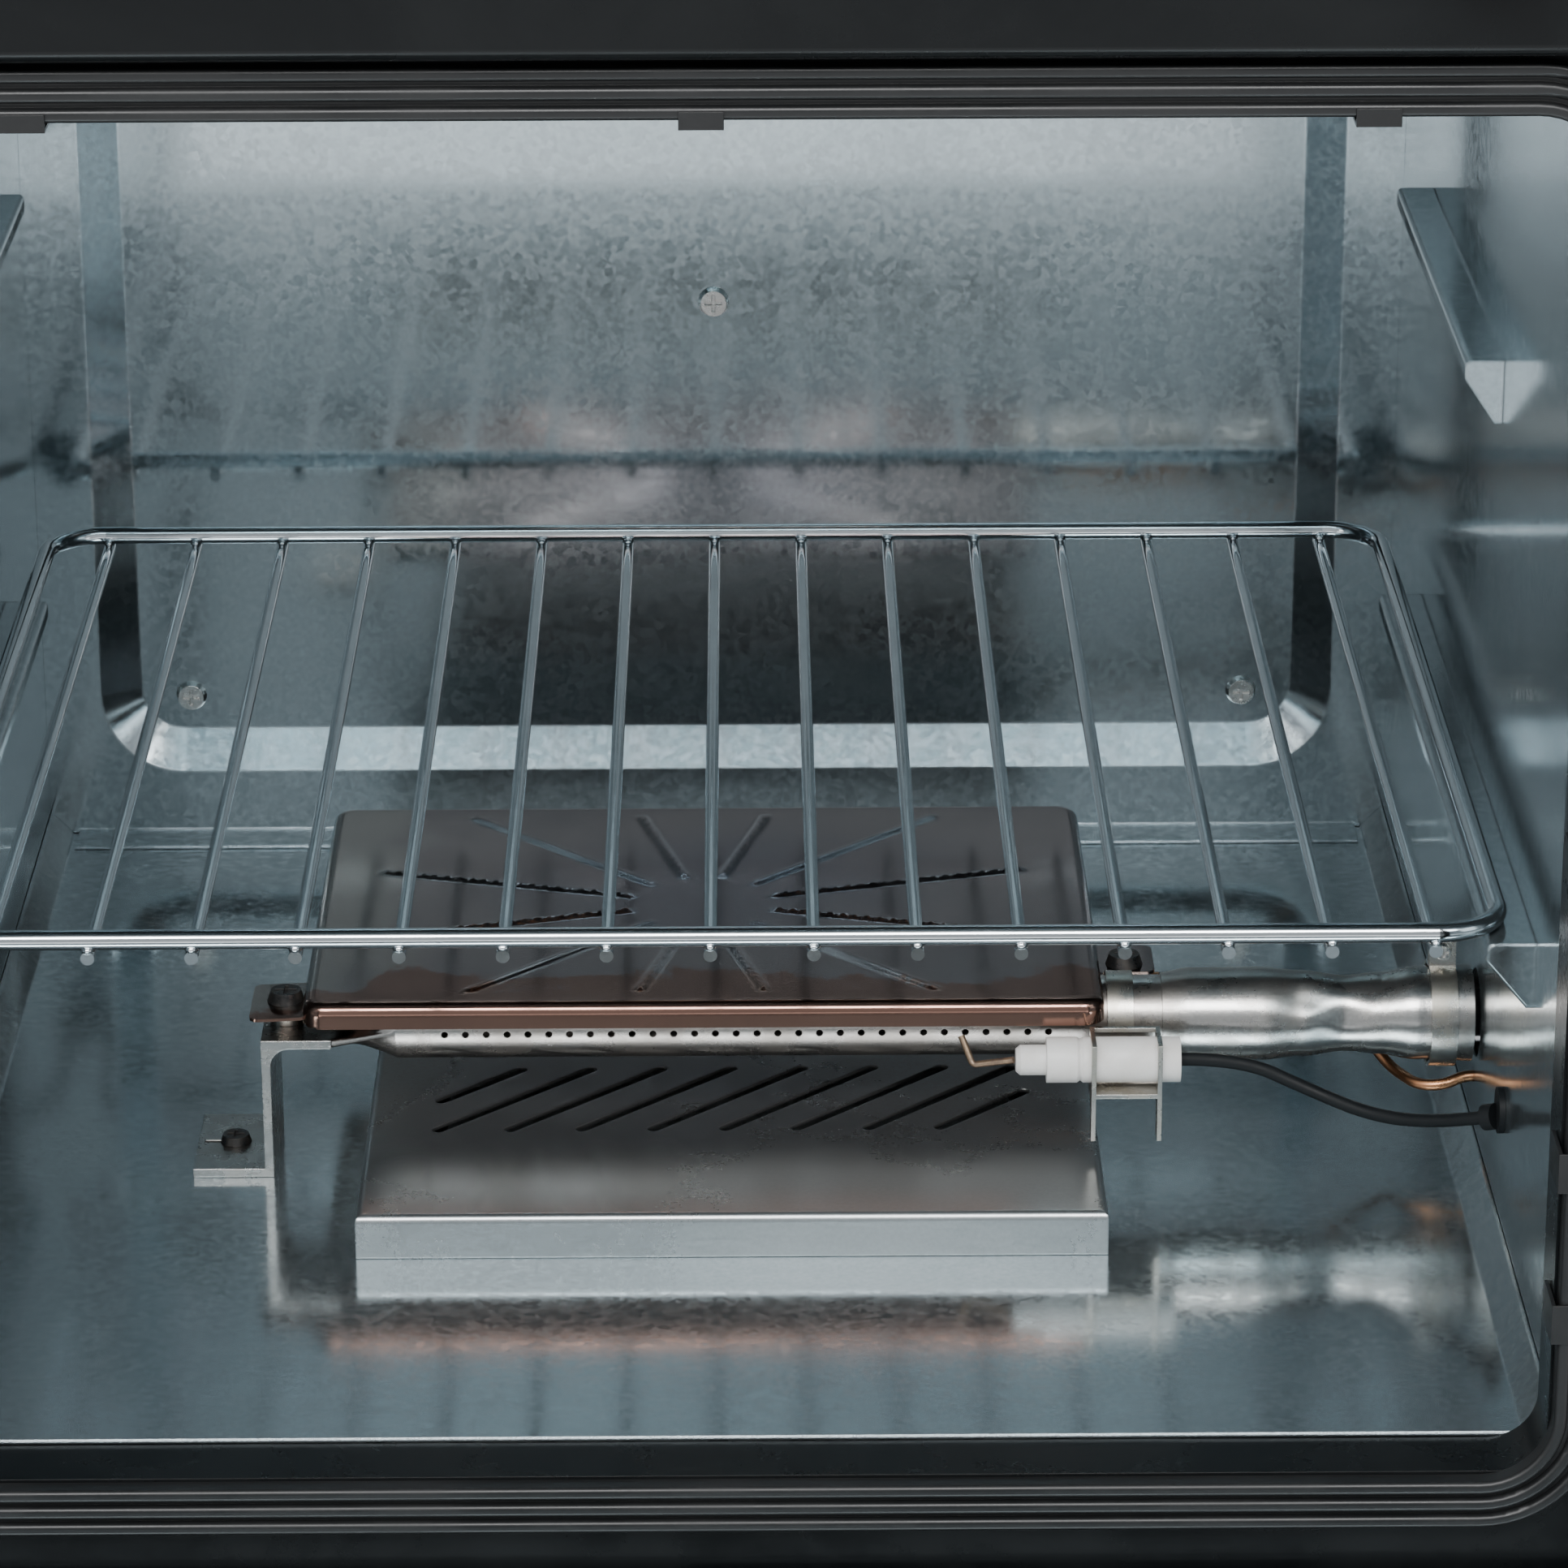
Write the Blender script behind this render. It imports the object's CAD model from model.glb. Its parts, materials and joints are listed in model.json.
import json
import math

import bmesh
import bpy
from mathutils import Matrix, Vector


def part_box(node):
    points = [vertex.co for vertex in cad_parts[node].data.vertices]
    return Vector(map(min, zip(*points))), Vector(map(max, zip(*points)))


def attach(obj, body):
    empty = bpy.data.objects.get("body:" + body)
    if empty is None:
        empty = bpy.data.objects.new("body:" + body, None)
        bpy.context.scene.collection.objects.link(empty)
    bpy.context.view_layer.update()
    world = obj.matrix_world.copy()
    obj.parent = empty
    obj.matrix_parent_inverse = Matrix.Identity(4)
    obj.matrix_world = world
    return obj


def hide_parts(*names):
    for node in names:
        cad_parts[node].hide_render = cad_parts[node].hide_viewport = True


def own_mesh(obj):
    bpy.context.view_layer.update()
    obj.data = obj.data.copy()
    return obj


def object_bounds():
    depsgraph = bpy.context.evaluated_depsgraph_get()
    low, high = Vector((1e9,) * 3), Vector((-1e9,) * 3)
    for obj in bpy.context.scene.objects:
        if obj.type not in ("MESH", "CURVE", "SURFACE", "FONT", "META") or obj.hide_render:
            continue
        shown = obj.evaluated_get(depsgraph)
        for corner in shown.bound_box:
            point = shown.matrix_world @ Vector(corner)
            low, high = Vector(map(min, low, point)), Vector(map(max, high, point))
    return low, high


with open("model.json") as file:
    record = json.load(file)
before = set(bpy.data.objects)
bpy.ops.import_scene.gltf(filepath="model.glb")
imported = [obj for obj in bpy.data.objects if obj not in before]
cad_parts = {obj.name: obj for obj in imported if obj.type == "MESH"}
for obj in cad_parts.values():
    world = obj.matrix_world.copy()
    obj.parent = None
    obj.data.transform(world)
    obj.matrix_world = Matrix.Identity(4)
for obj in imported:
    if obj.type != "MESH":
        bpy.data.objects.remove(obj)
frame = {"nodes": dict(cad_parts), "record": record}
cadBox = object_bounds()
nodes = frame["nodes"]
mm = 0.001
for plain in list(bpy.data.materials):
    bpy.data.materials.remove(plain)
print("frame loaded,", len(nodes), "nodes")


# ---- camera

cameraSet = {"place": (9.6, -1523.9, 769.2), "lens": 137.4, "down": 20.76, "right": 0.363, "roll": 0.18,
             "reach": 20}


def makeCamera():
    data = bpy.data.cameras.new("camera")
    data.lens = cameraSet["lens"]
    data.clip_end = cameraSet["reach"]
    view = bpy.data.objects.new("camera", data)
    turn = (Matrix.Rotation(-math.radians(cameraSet["right"]), 4, "Z")
            @ Matrix.Rotation(math.radians(90 - cameraSet["down"]), 4, "X")
            @ Matrix.Rotation(-math.radians(cameraSet["roll"]), 4, "Z"))
    view.matrix_world = Matrix.Translation(Vector(cameraSet["place"]) * mm) @ turn
    bpy.context.collection.objects.link(view)
    bpy.context.scene.camera = view


makeCamera()


# ---- node helpers

def place(tree, kind, **settings):
    node = tree.nodes.new(kind)
    for key, value in settings.items():
        setattr(node, key, value)
    return node


def feed(tree, socket, value):
    if isinstance(value, bpy.types.NodeSocket):
        tree.links.new(value, socket)
    else:
        socket.default_value = value


def calc(tree, operation, *values):
    node = place(tree, "ShaderNodeMath", operation=operation)
    for socket, value in zip(node.inputs, values):
        feed(tree, socket, value)
    return node.outputs[0]


def remap(tree, value, low, high, start=0.0, end=1.0, kind="SMOOTHSTEP"):
    node = place(tree, "ShaderNodeMapRange", interpolation_type=kind)
    for name, item in (("Value", value), ("From Min", low), ("From Max", high), ("To Min", start),
                       ("To Max", end)):
        feed(tree, node.inputs[name], item)
    return node.outputs[0]


def blendColour(tree, amount, first, second):
    node = place(tree, "ShaderNodeMix", data_type="RGBA")
    feed(tree, node.inputs["Factor"], amount)
    feed(tree, node.inputs[6], first)
    feed(tree, node.inputs[7], second)
    return node.outputs[2]


def newGroup(name, ins, outs, kind="ShaderNodeTree"):
    group = bpy.data.node_groups.new(name, kind)
    for label, socketKind, value in ins:
        socket = group.interface.new_socket(label, in_out="INPUT", socket_type=socketKind)
        if value is not None:
            socket.default_value = value
    for label, socketKind in outs:
        group.interface.new_socket(label, in_out="OUTPUT", socket_type=socketKind)
    return group, group.nodes.new("NodeGroupInput").outputs, group.nodes.new("NodeGroupOutput").inputs


# ---- shared surface effects

finishSet = {"cloudDetail": 5, "cloudRoughness": 0.62, "cloudDistortion": 0.4, "grainDetail": 2,
             "patch": (0.36, 0.68), "patchShare": 0.7, "grainShare": 0.3, "spread": (0.1, 0.9)}


def makeFinishGroup():
    # colour drift, fine grain and a patchy roughness, for every painted, plated or moulded surface
    group, given, out = newGroup("surfaceFinish", [
        ("Vector", "NodeSocketVector", None), ("Base", "NodeSocketColor", (0.5, 0.5, 0.5, 1)),
        ("Mark", "NodeSocketColor", (0.4, 0.4, 0.4, 1)), ("Mark Scale", "NodeSocketFloat", 20.0),
        ("Mark Amount", "NodeSocketFloat", 0.5), ("Grain Scale", "NodeSocketFloat", 900.0),
        ("Grain Amount", "NodeSocketFloat", 0.1), ("Smooth", "NodeSocketFloat", 0.25),
        ("Rough", "NodeSocketFloat", 0.4)],
        [("Colour", "NodeSocketColor"), ("Roughness", "NodeSocketFloat"), ("Height", "NodeSocketFloat")])
    clouds = place(group, "ShaderNodeTexNoise")
    group.links.new(given["Vector"], clouds.inputs["Vector"])
    group.links.new(given["Mark Scale"], clouds.inputs["Scale"])
    clouds.inputs["Detail"].default_value = finishSet["cloudDetail"]
    clouds.inputs["Roughness"].default_value = finishSet["cloudRoughness"]
    clouds.inputs["Distortion"].default_value = finishSet["cloudDistortion"]
    grain = place(group, "ShaderNodeTexNoise")
    group.links.new(given["Vector"], grain.inputs["Vector"])
    group.links.new(given["Grain Scale"], grain.inputs["Scale"])
    grain.inputs["Detail"].default_value = finishSet["grainDetail"]
    patch = remap(group, clouds.outputs[0], *finishSet["patch"])
    marked = calc(group, "MULTIPLY", patch, given["Mark Amount"])
    tone = blendColour(group, marked, given["Base"], given["Mark"])
    speck = calc(group, "MULTIPLY", calc(group, "SUBTRACT", grain.outputs[0], 0.5), given["Grain Amount"])
    shade = calc(group, "ADD", calc(group, "MULTIPLY", speck, 2.0), 1.0)
    scaled = place(group, "ShaderNodeVectorMath", operation="SCALE")
    group.links.new(tone, scaled.inputs[0])
    group.links.new(shade, scaled.inputs["Scale"])
    group.links.new(scaled.outputs[0], out["Colour"])
    mixed = calc(group, "ADD", calc(group, "MULTIPLY", patch, finishSet["patchShare"]),
                 calc(group, "MULTIPLY", grain.outputs[0], finishSet["grainShare"]))
    rough = remap(group, mixed, *finishSet["spread"], given["Smooth"], given["Rough"], "LINEAR")
    group.links.new(rough, out["Roughness"])
    group.links.new(grain.outputs[0], out["Height"])
    return group


def makeRollingGroup():
    # long faint lines left by the rolling mill, brush or die
    group, given, out = newGroup("rollingLines", [
        ("Vector", "NodeSocketVector", None), ("Stretch", "NodeSocketVector", (1, 1, 1)),
        ("Scale", "NodeSocketFloat", 300.0)], [("Lines", "NodeSocketFloat")])
    pulled = place(group, "ShaderNodeVectorMath", operation="MULTIPLY")
    group.links.new(given["Vector"], pulled.inputs[0])
    group.links.new(given["Stretch"], pulled.inputs[1])
    lines = place(group, "ShaderNodeTexNoise")
    group.links.new(pulled.outputs[0], lines.inputs["Vector"])
    group.links.new(given["Scale"], lines.inputs["Scale"])
    lines.inputs["Detail"].default_value = 3
    group.links.new(lines.outputs[0], out["Lines"])
    return group


def makeSpangleGroup():
    # the crystal pattern of hot-dipped zinc or aluminium coating
    group, given, out = newGroup("coatingSpangle", [
        ("Vector", "NodeSocketVector", None), ("Scale", "NodeSocketFloat", 260.0)],
        [("Spangle", "NodeSocketFloat")])
    cells = place(group, "ShaderNodeTexVoronoi")
    group.links.new(given["Vector"], cells.inputs["Vector"])
    group.links.new(given["Scale"], cells.inputs["Scale"])
    cells.inputs["Randomness"].default_value = 1
    split = place(group, "ShaderNodeSeparateColor")
    group.links.new(cells.outputs["Color"], split.inputs[0])
    group.links.new(split.outputs[0], out["Spangle"])
    return group


scratchSet = {"angles": (0.3, 1.2, 2.1), "tilt": (0.6, 0.4), "pull": (1, 30, 30), "detail": 1,
              "cut": (0.74, 0.80)}


def makeScratchGroup():
    # sparse fine scratches from handling and wiping
    group, given, out = newGroup("fineScratches", [
        ("Vector", "NodeSocketVector", None), ("Scale", "NodeSocketFloat", 40.0)],
        [("Scratch", "NodeSocketFloat")])
    found = None
    for angle in scratchSet["angles"]:
        turned = place(group, "ShaderNodeMapping")
        tilt = scratchSet["tilt"]
        turned.inputs["Rotation"].default_value = (tilt[0] * angle, tilt[1] * angle, angle)
        turned.inputs["Scale"].default_value = scratchSet["pull"]
        group.links.new(given["Vector"], turned.inputs["Vector"])
        lines = place(group, "ShaderNodeTexNoise")
        lines.inputs["Detail"].default_value = scratchSet["detail"]
        group.links.new(turned.outputs[0], lines.inputs["Vector"])
        group.links.new(given["Scale"], lines.inputs["Scale"])
        mask = remap(group, lines.outputs[0], *scratchSet["cut"])
        found = mask if found is None else calc(group, "MAXIMUM", found, mask)
    group.links.new(found, out["Scratch"])
    return group


finishGroup = makeFinishGroup()
rollingGroup = makeRollingGroup()
spangleGroup = makeSpangleGroup()
scratchGroup = makeScratchGroup()


def useGroup(tree, group, **values):
    node = place(tree, "ShaderNodeGroup", node_tree=group)
    for name, value in values.items():
        feed(tree, node.inputs[name.replace("_", " ")], value)
    return node


# ---- materials

def startMaterial(name, metallic=0.0, specular=0.5):
    material = bpy.data.materials.new(name)
    material.use_nodes = True
    tree = material.node_tree
    shader = tree.nodes["Principled BSDF"]
    shader.inputs["Metallic"].default_value = metallic
    shader.inputs["Specular IOR Level"].default_value = specular
    where = place(tree, "ShaderNodeTexCoord").outputs["Object"]
    return material, tree, shader, where


def finishSurface(tree, shader, where, look):
    smooth, rough = look["roughness"]
    node = useGroup(tree, finishGroup, Vector=where, Base=(*look["base"], 1), Mark=(*look["mark"], 1),
                    Mark_Scale=look["markScale"], Mark_Amount=look["markAmount"], Smooth=smooth, Rough=rough,
                    Grain_Scale=look["grainScale"], Grain_Amount=look["grainAmount"])
    tree.links.new(node.outputs["Colour"], shader.inputs["Base Color"])
    tree.links.new(node.outputs["Roughness"], shader.inputs["Roughness"])
    return node


def scratches(tree, where, look):
    return useGroup(tree, scratchGroup, Vector=where, Scale=look["scratchScale"]).outputs[0]


def rolledLines(tree, where, look):
    return useGroup(tree, rollingGroup, Vector=where, Stretch=look["lineStretch"],
                    Scale=look["lineScale"]).outputs[0]


def spangles(tree, where, look):
    return useGroup(tree, spangleGroup, Vector=where, Scale=look["spangleScale"]).outputs[0]


def axisOf(tree, where):
    axes = place(tree, "ShaderNodeSeparateXYZ")
    tree.links.new(where, axes.inputs[0])
    return axes.outputs


bevelSamples = 4


def addBump(tree, shader, height, strength, distance, edge=None):
    bump = place(tree, "ShaderNodeBump")
    bump.inputs["Strength"].default_value = strength
    bump.inputs["Distance"].default_value = distance
    feed(tree, bump.inputs["Height"], height)
    if edge:
        rounded = place(tree, "ShaderNodeBevel", samples=bevelSamples)
        rounded.inputs["Radius"].default_value = edge
        tree.links.new(rounded.outputs[0], bump.inputs["Normal"])
    tree.links.new(bump.outputs[0], shader.inputs["Normal"])


plainLooks = {
    "casing_paint": {
        "base": (0.007, 0.0073, 0.008), "mark": (0.012, 0.0123, 0.013), "markScale": 14, "markAmount": 0.6,
        "grainScale": 1700, "grainAmount": 0.25, "roughness": (0.42, 0.58), "metallic": 0, "bump": 0.25,
        "specular": 0.16},
    "black_enamel": {
        "base": (0.003, 0.0036, 0.004), "mark": (0.006, 0.007, 0.0075), "markScale": 18, "markAmount": 0.6,
        "grainScale": 800, "grainAmount": 0.1, "roughness": (0.22, 0.34), "metallic": 0, "bump": 0.08,
        "specular": 0.2},
    "gasket_rubber": {
        "base": (0.008, 0.0085, 0.009), "mark": (0.016, 0.0165, 0.017), "markScale": 30, "markAmount": 0.5,
        "grainScale": 1300, "grainAmount": 0.2, "roughness": (0.30, 0.46), "metallic": 0, "bump": 0.15,
        "specular": 0.38},
    "control_plastic": {
        "base": (0.007, 0.007, 0.0075), "mark": (0.013, 0.013, 0.0135), "markScale": 40, "markAmount": 0.4,
        "grainScale": 2200, "grainAmount": 0.15, "roughness": (0.34, 0.5), "metallic": 0, "bump": 0.2},
    "black_screws": {
        "base": (0.011, 0.012, 0.013), "mark": (0.045, 0.038, 0.032), "markScale": 220, "markAmount": 0.6,
        "grainScale": 2600, "grainAmount": 0.3, "roughness": (0.25, 0.5), "metallic": 0.4, "bump": 0.3},
    "handle_posts": {
        "base": (0.015, 0.015, 0.016), "mark": (0.028, 0.028, 0.029), "markScale": 60, "markAmount": 0.5,
        "grainScale": 1800, "grainAmount": 0.2, "roughness": (0.3, 0.48), "metallic": 0, "bump": 0.2},
    "bright_screws": {
        "base": (0.62, 0.62, 0.60), "mark": (0.46, 0.45, 0.43), "markScale": 150, "markAmount": 0.4,
        "grainScale": 2600, "grainAmount": 0.12, "roughness": (0.16, 0.34), "metallic": 1, "bump": 0.15},
    "spring_steel": {
        "base": (0.33, 0.33, 0.34), "mark": (0.16, 0.14, 0.12), "markScale": 90, "markAmount": 0.6,
        "grainScale": 1800, "grainAmount": 0.2, "roughness": (0.28, 0.45), "metallic": 1, "bump": 0.2},
    "brass_parts": {
        "base": (0.66, 0.43, 0.14), "mark": (0.34, 0.20, 0.07), "markScale": 130, "markAmount": 0.6,
        "grainScale": 2000, "grainAmount": 0.12, "roughness": (0.2, 0.38), "metallic": 1, "bump": 0.12},
    "copper_parts": {
        "base": (0.62, 0.31, 0.16), "mark": (0.30, 0.14, 0.08), "markScale": 70, "markAmount": 0.7,
        "grainScale": 1500, "grainAmount": 0.12, "roughness": (0.24, 0.42), "metallic": 1, "bump": 0.12},
    "pipe_steel": {
        "base": (0.50, 0.52, 0.54), "mark": (0.34, 0.34, 0.34), "markScale": 60, "markAmount": 0.6,
        "grainScale": 1400, "grainAmount": 0.14, "roughness": (0.3, 0.45), "metallic": 1, "bump": 0.15},
    "white_ceramic": {
        "base": (0.80, 0.79, 0.77), "mark": (0.66, 0.63, 0.58), "markScale": 110, "markAmount": 0.45,
        "grainScale": 3200, "grainAmount": 0.06, "roughness": (0.42, 0.62), "metallic": 0, "bump": 0.25},
}


plainBump = {"distance": 0.00008, "edge": 0.00035}


def plainMaterial(name):
    look = plainLooks[name]
    material, tree, shader, where = startMaterial(name, look["metallic"], look.get("specular", 0.5))
    surface = finishSurface(tree, shader, where, look)
    addBump(tree, shader, surface.outputs["Height"], look["bump"], plainBump["distance"], plainBump["edge"])
    return material


cavityLook = {"base": (0.42, 0.485, 0.51), "mark": (0.355, 0.41, 0.435), "markScale": 4.0, "markAmount": 0.5,
              "grainScale": 700, "grainAmount": 0.16, "roughness": (0.11, 0.17), "spangleScale": 480,
              "lineStretch": (1, 1, 0.03), "lineScale": 420, "scratchScale": 26.0,
              "bright": (0.72, 0.76, 0.78, 1), "spangleShare": 0.06, "scratchShare": 0.03,
              "spangleRough": 0.07, "grainHigh": 0.6, "spangleHigh": 0.35, "lineHigh": 0.5,
              "bump": (0.05, 0.00002, 0.0012)}


def cavitySteel():
    # satin aluminised sheet: mottled grain, faint upright rolling lines, a few wipes
    material, tree, shader, where = startMaterial("cavity_steel", 0.93)
    surface = finishSurface(tree, shader, where, cavityLook)
    spangle = spangles(tree, where, cavityLook)
    lines = rolledLines(tree, where, cavityLook)
    scratch = scratches(tree, where, cavityLook)
    bright = calc(tree, "ADD", calc(tree, "MULTIPLY", spangle, cavityLook["spangleShare"]),
                  calc(tree, "MULTIPLY", scratch, cavityLook["scratchShare"]))
    tree.links.new(blendColour(tree, bright, surface.outputs["Colour"], cavityLook["bright"]),
                   shader.inputs["Base Color"])
    rough = calc(tree, "ADD", surface.outputs["Roughness"],
                 calc(tree, "MULTIPLY", calc(tree, "SUBTRACT", spangle, 0.5), cavityLook["spangleRough"]))
    tree.links.new(rough, shader.inputs["Roughness"])
    height = calc(tree, "ADD", calc(tree, "MULTIPLY", surface.outputs["Height"], cavityLook["grainHigh"]),
                  calc(tree, "ADD", calc(tree, "MULTIPLY", spangle, cavityLook["spangleHigh"]),
                       calc(tree, "MULTIPLY", lines, cavityLook["lineHigh"])))
    addBump(tree, shader, height, *cavityLook["bump"])
    return material


galvanisedLook = {"base": (0.50, 0.52, 0.53), "mark": (0.38, 0.40, 0.41), "markScale": 8, "markAmount": 0.7,
                  "grainScale": 500, "grainAmount": 0.12, "roughness": (0.34, 0.5), "spangleScale": 120.0,
                  "spangleShare": 0.35, "bright": (0.66, 0.68, 0.69, 1), "bump": (0.12, 0.0001, 0.0004)}


def galvanisedSteel():
    material, tree, shader, where = startMaterial("galvanised_steel", 1.0)
    surface = finishSurface(tree, shader, where, galvanisedLook)
    spangle = spangles(tree, where, galvanisedLook)
    share = calc(tree, "MULTIPLY", spangle, galvanisedLook["spangleShare"])
    tree.links.new(blendColour(tree, share, surface.outputs["Colour"], galvanisedLook["bright"]),
                   shader.inputs["Base Color"])
    addBump(tree, shader, calc(tree, "ADD", surface.outputs["Height"], spangle), *galvanisedLook["bump"])
    return material


baffleLook = {"base": (0.42, 0.445, 0.455), "mark": (0.35, 0.365, 0.37), "markScale": 9, "markAmount": 0.5,
              "grainScale": 900, "grainAmount": 0.1, "roughness": (0.24, 0.34), "lineStretch": (0.04, 1, 1),
              "lineScale": 700.0, "scratchScale": 45.0, "scratchShare": 0.02, "bright": (0.7, 0.72, 0.73, 1),
              "stain": (0.30, 0.265, 0.245, 1), "stainY": (-0.124, -0.06), "stainShare": 0.9,
              "bump": (0.12, 0.00007, 0.0006)}


def baffleSteel():
    # the same sheet, drier, with a warm stain spreading from under the burner
    material, tree, shader, where = startMaterial("baffle_steel", 0.95)
    surface = finishSurface(tree, shader, where, baffleLook)
    axes = axisOf(tree, where)
    warm = calc(tree, "MULTIPLY", remap(tree, axes["Y"], *baffleLook["stainY"]), surface.outputs["Height"])
    lines = rolledLines(tree, where, baffleLook)
    scratch = scratches(tree, where, baffleLook)
    stained = blendColour(tree, calc(tree, "MULTIPLY", warm, baffleLook["stainShare"]),
                          surface.outputs["Colour"], baffleLook["stain"])
    marked = calc(tree, "MULTIPLY", scratch, baffleLook["scratchShare"])
    tree.links.new(blendColour(tree, marked, stained, baffleLook["bright"]), shader.inputs["Base Color"])
    addBump(tree, shader, calc(tree, "ADD", surface.outputs["Height"], lines), *baffleLook["bump"])
    return material


burnerLook = {"base": (0.52, 0.515, 0.50), "mark": (0.33, 0.30, 0.27), "markScale": 46, "markAmount": 0.65,
              "grainScale": 1200, "grainAmount": 0.12, "roughness": (0.2, 0.36), "lineStretch": (0.03, 1, 1),
              "lineScale": 1500.0, "scratchScale": 70.0, "scratchShare": 0.3, "bright": (0.75, 0.74, 0.72, 1),
              "oxide": (0.36, 0.27, 0.22, 1), "oxideLeft": (-0.095, -0.06), "oxideRight": (0.13, 0.09),
              "oxideDeep": 0.018, "oxideShare": 0.6, "bump": (0.16, 0.00008, 0.0004)}


def burnerSteel():
    # drawn tube: lines along its length, warm oxide where the flame has been
    material, tree, shader, where = startMaterial("burner_steel", 1.0)
    surface = finishSurface(tree, shader, where, burnerLook)
    lines = rolledLines(tree, where, burnerLook)
    scratch = scratches(tree, where, burnerLook)
    axes = axisOf(tree, where)
    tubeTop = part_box("burner_tube")[1].z
    heat = calc(tree, "MULTIPLY", remap(tree, axes["X"], *burnerLook["oxideLeft"]),
                remap(tree, axes["X"], *burnerLook["oxideRight"]))
    heat = calc(tree, "MULTIPLY", heat, remap(tree, axes["Z"], tubeTop - burnerLook["oxideDeep"], tubeTop))
    tinted = blendColour(tree, calc(tree, "MULTIPLY", heat, burnerLook["oxideShare"]),
                         surface.outputs["Colour"], burnerLook["oxide"])
    marked = calc(tree, "MULTIPLY", scratch, burnerLook["scratchShare"])
    tree.links.new(blendColour(tree, marked, tinted, burnerLook["bright"]), shader.inputs["Base Color"])
    addBump(tree, shader, calc(tree, "ADD", surface.outputs["Height"], lines), *burnerLook["bump"])
    return material


bracketLook = {"base": (0.60, 0.59, 0.56), "mark": (0.42, 0.37, 0.29), "markScale": 80, "markAmount": 0.6,
               "grainScale": 1700, "grainAmount": 0.1, "roughness": (0.2, 0.34), "scratchScale": 120.0,
               "scratchShare": 0.3, "bright": (0.8, 0.79, 0.76, 1), "bump": (0.12, 0.00006, 0.00025)}


def brightBracket():
    material, tree, shader, where = startMaterial("bright_bracket", 1.0)
    surface = finishSurface(tree, shader, where, bracketLook)
    marked = calc(tree, "MULTIPLY", scratches(tree, where, bracketLook), bracketLook["scratchShare"])
    tree.links.new(blendColour(tree, marked, surface.outputs["Colour"], bracketLook["bright"]),
                   shader.inputs["Base Color"])
    addBump(tree, shader, surface.outputs["Height"], *bracketLook["bump"])
    return material


spreaderLook = {"base": (0.36, 0.30, 0.29), "mark": (0.28, 0.235, 0.235), "markScale": 14, "markAmount": 0.7,
                "grainScale": 900, "grainAmount": 0.08, "roughness": (0.10, 0.17),
                "straw": (0.44, 0.395, 0.36, 1), "copper": (0.30, 0.165, 0.125, 1),
                "blue": (0.26, 0.225, 0.24, 1),
                "bright": (0.5, 0.45, 0.42, 1), "scratchScale": 60.0, "scratchShare": 0.05,
                "drift": (0.17, 0.35), "tabs": (0.015, 0.016), "halfSpan": (0.1, 0.07),
                "blueFade": (0.75, 0.2), "strawFade": (0.030, 0.012),
                "strawShare": 0.85, "copperFade": (0.005, 0.0015),
                "copperShare": 0.95, "bump": (0.07, 0.00006)}


def spreaderSteel():
    # heat-tinted plate: straw at the cool edges, brown to plum-blue inside, copper on the front flange
    material, tree, shader, where = startMaterial("spreader_steel", 1.0)
    surface = finishSurface(tree, shader, where, spreaderLook)
    look = spreaderLook
    low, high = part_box("flame_spreader")
    axes = axisOf(tree, where)
    drift = calc(tree, "MULTIPLY", calc(tree, "SUBTRACT", surface.outputs["Roughness"], look["drift"][0]),
                 look["drift"][1])
    across = calc(tree, "ADD", axes["X"], drift)
    along = calc(tree, "ADD", axes["Y"], drift)
    centre = ((low.x + look["tabs"][0] + high.x - look["tabs"][1]) / 2, (low.y + high.y) / 2)
    squares = []
    for value, middle, half in zip((across, along), centre, look["halfSpan"]):
        share = calc(tree, "DIVIDE", calc(tree, "SUBTRACT", value, middle), half)
        squares.append(calc(tree, "POWER", share, 2.0))
    radius = calc(tree, "POWER", calc(tree, "ADD", *squares), 0.5)
    tone = blendColour(tree, remap(tree, radius, *look["blueFade"]), surface.outputs["Colour"], look["blue"])
    cool = remap(tree, across, *(low.x + width for width in look["strawFade"]))
    tone = blendColour(tree, calc(tree, "MULTIPLY", cool, look["strawShare"]), tone, look["straw"])
    front = remap(tree, along, *(low.y + width for width in look["copperFade"]))
    tone = blendColour(tree, calc(tree, "MULTIPLY", front, look["copperShare"]), tone, look["copper"])
    marked = calc(tree, "MULTIPLY", scratches(tree, where, look), look["scratchShare"])
    tree.links.new(blendColour(tree, marked, tone, look["bright"]), shader.inputs["Base Color"])
    addBump(tree, shader, surface.outputs["Height"], *look["bump"])
    return material


chromeLook = {"base": (0.70, 0.735, 0.755), "mark": (0.56, 0.59, 0.61), "markScale": 60, "markAmount": 0.5,
              "grainScale": 1500, "grainAmount": 0.05, "roughness": (0.07, 0.17), "scratchScale": 90.0,
              "bump": (0.06, 0.00005)}


def rackChrome():
    material, tree, shader, where = startMaterial("rack_chrome", 1.0)
    surface = finishSurface(tree, shader, where, chromeLook)
    height = calc(tree, "ADD", surface.outputs["Height"], scratches(tree, where, chromeLook))
    addBump(tree, shader, height, *chromeLook["bump"])
    return material


electrodeLook = {"base": (0.34, 0.24, 0.16), "mark": (0.15, 0.11, 0.09), "markScale": 260, "markAmount": 0.8,
                 "grainScale": 2400, "grainAmount": 0.2, "roughness": (0.3, 0.5), "bump": (0.3, 0.00006)}


def electrodeWire():
    material, tree, shader, where = startMaterial("electrode_wire", 0.8)
    surface = finishSurface(tree, shader, where, electrodeLook)
    addBump(tree, shader, surface.outputs["Height"], *electrodeLook["bump"])
    return material


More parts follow.
